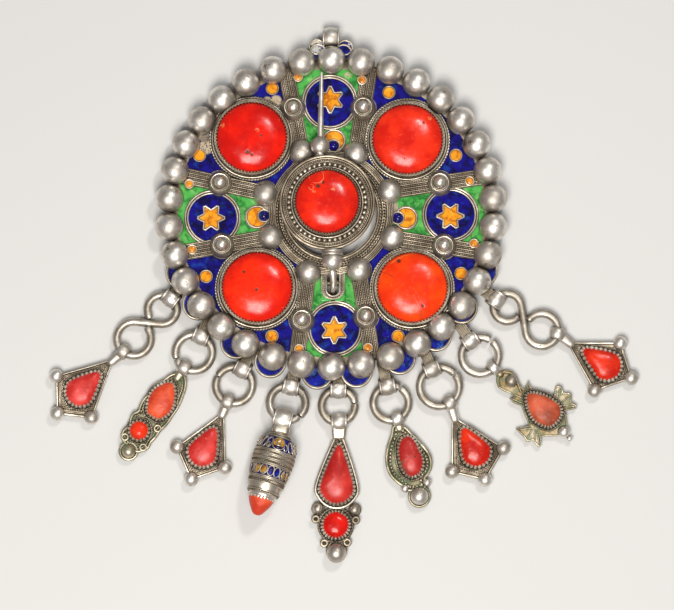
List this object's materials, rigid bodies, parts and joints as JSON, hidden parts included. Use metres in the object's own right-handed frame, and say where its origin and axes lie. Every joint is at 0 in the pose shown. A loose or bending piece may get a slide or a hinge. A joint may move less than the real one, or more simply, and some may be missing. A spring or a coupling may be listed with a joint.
{
  "type": "round fibula brooch",
  "caption": "Round silver dress brooch with a hinged needle, domed red corals, enamelled cells, rim beads and pendants hanging on rings.",
  "frame": {"origin": "under the centre of the round plate, on the surface that the brooch lies on", "axes": "+Z out of the brooch's face, +Y along the needle towards its point, -Y towards the pendants"},
  "size_m": [0.1588, 0.1451, 0.0129],
  "materials": {
    "silver_plate": "worn old silver, tarnished in the crevices",
    "silver_needle": "worn old silver",
    "silver_wire": "drawn wire, dulled",
    "silver_pendant": "worn old silver with green and brown tarnish",
    "coral_red": "polished red coral with pits and cracks",
    "coral_worn": "worn red coral",
    "enamel_blue": "deep blue vitreous enamel",
    "enamel_green": "green vitreous enamel",
    "enamel_yellow": "yellow-orange vitreous enamel"
  },
  "bodies": {
    "brooch": {"brooch_plate": "silver_plate", "coral_ne": "coral_red", "coral_nw": "coral_red", "coral_pendant_1": "coral_worn", "coral_pendant_2_leaf": "coral_worn", "coral_pendant_2_round": "coral_worn", "coral_pendant_3": "coral_worn", "coral_pendant_4": "coral_worn", "coral_pendant_5_drop": "coral_worn", "coral_pendant_5_round": "coral_worn", "coral_pendant_6": "coral_worn", "coral_pendant_7": "coral_worn", "coral_pendant_8": "coral_worn", "coral_pendant_9": "coral_worn", "coral_se": "coral_red", "coral_sw": "coral_red", "enamel_barrel": "enamel_yellow", "enamel_blue": "enamel_blue", "enamel_crescents": "enamel_yellow", "enamel_dots_orange": "enamel_yellow", "enamel_dots_yellow": "enamel_yellow", "enamel_drops": "enamel_blue", "enamel_green": "enamel_green", "enamel_roundel_east": "enamel_blue", "enamel_roundel_north": "enamel_blue", "enamel_roundel_south": "enamel_blue", "enamel_roundel_west": "enamel_blue", "enamel_scallops": "enamel_blue", "enamel_star_east": "enamel_yellow", "enamel_star_north": "enamel_yellow", "enamel_star_south": "enamel_yellow", "enamel_star_west": "enamel_yellow", "pendant_1": "silver_pendant", "pendant_2": "silver_pendant", "pendant_3": "silver_pendant", "pendant_4": "silver_pendant", "pendant_5": "silver_pendant", "pendant_6": "silver_pendant", "pendant_7": "silver_pendant", "pendant_8": "silver_pendant", "pendant_9": "silver_pendant", "ring_2": "silver_wire", "ring_3": "silver_wire", "ring_4": "silver_wire", "ring_5": "silver_wire", "ring_6": "silver_wire", "ring_7": "silver_wire", "ring_8": "silver_wire", "s_link_1": "silver_wire", "s_link_9": "silver_wire"},
    "pin": {"needle": "silver_needle", "coral_center": "coral_red"}
  },
  "joints": [
    {"name": "pin_hinge", "type": "hinge", "parent": "brooch", "child": "pin", "pos_m": [0.0006, -0.019, 0.0032], "axis": [1, 0, 0], "range_deg": [0, 85]}
  ]
}
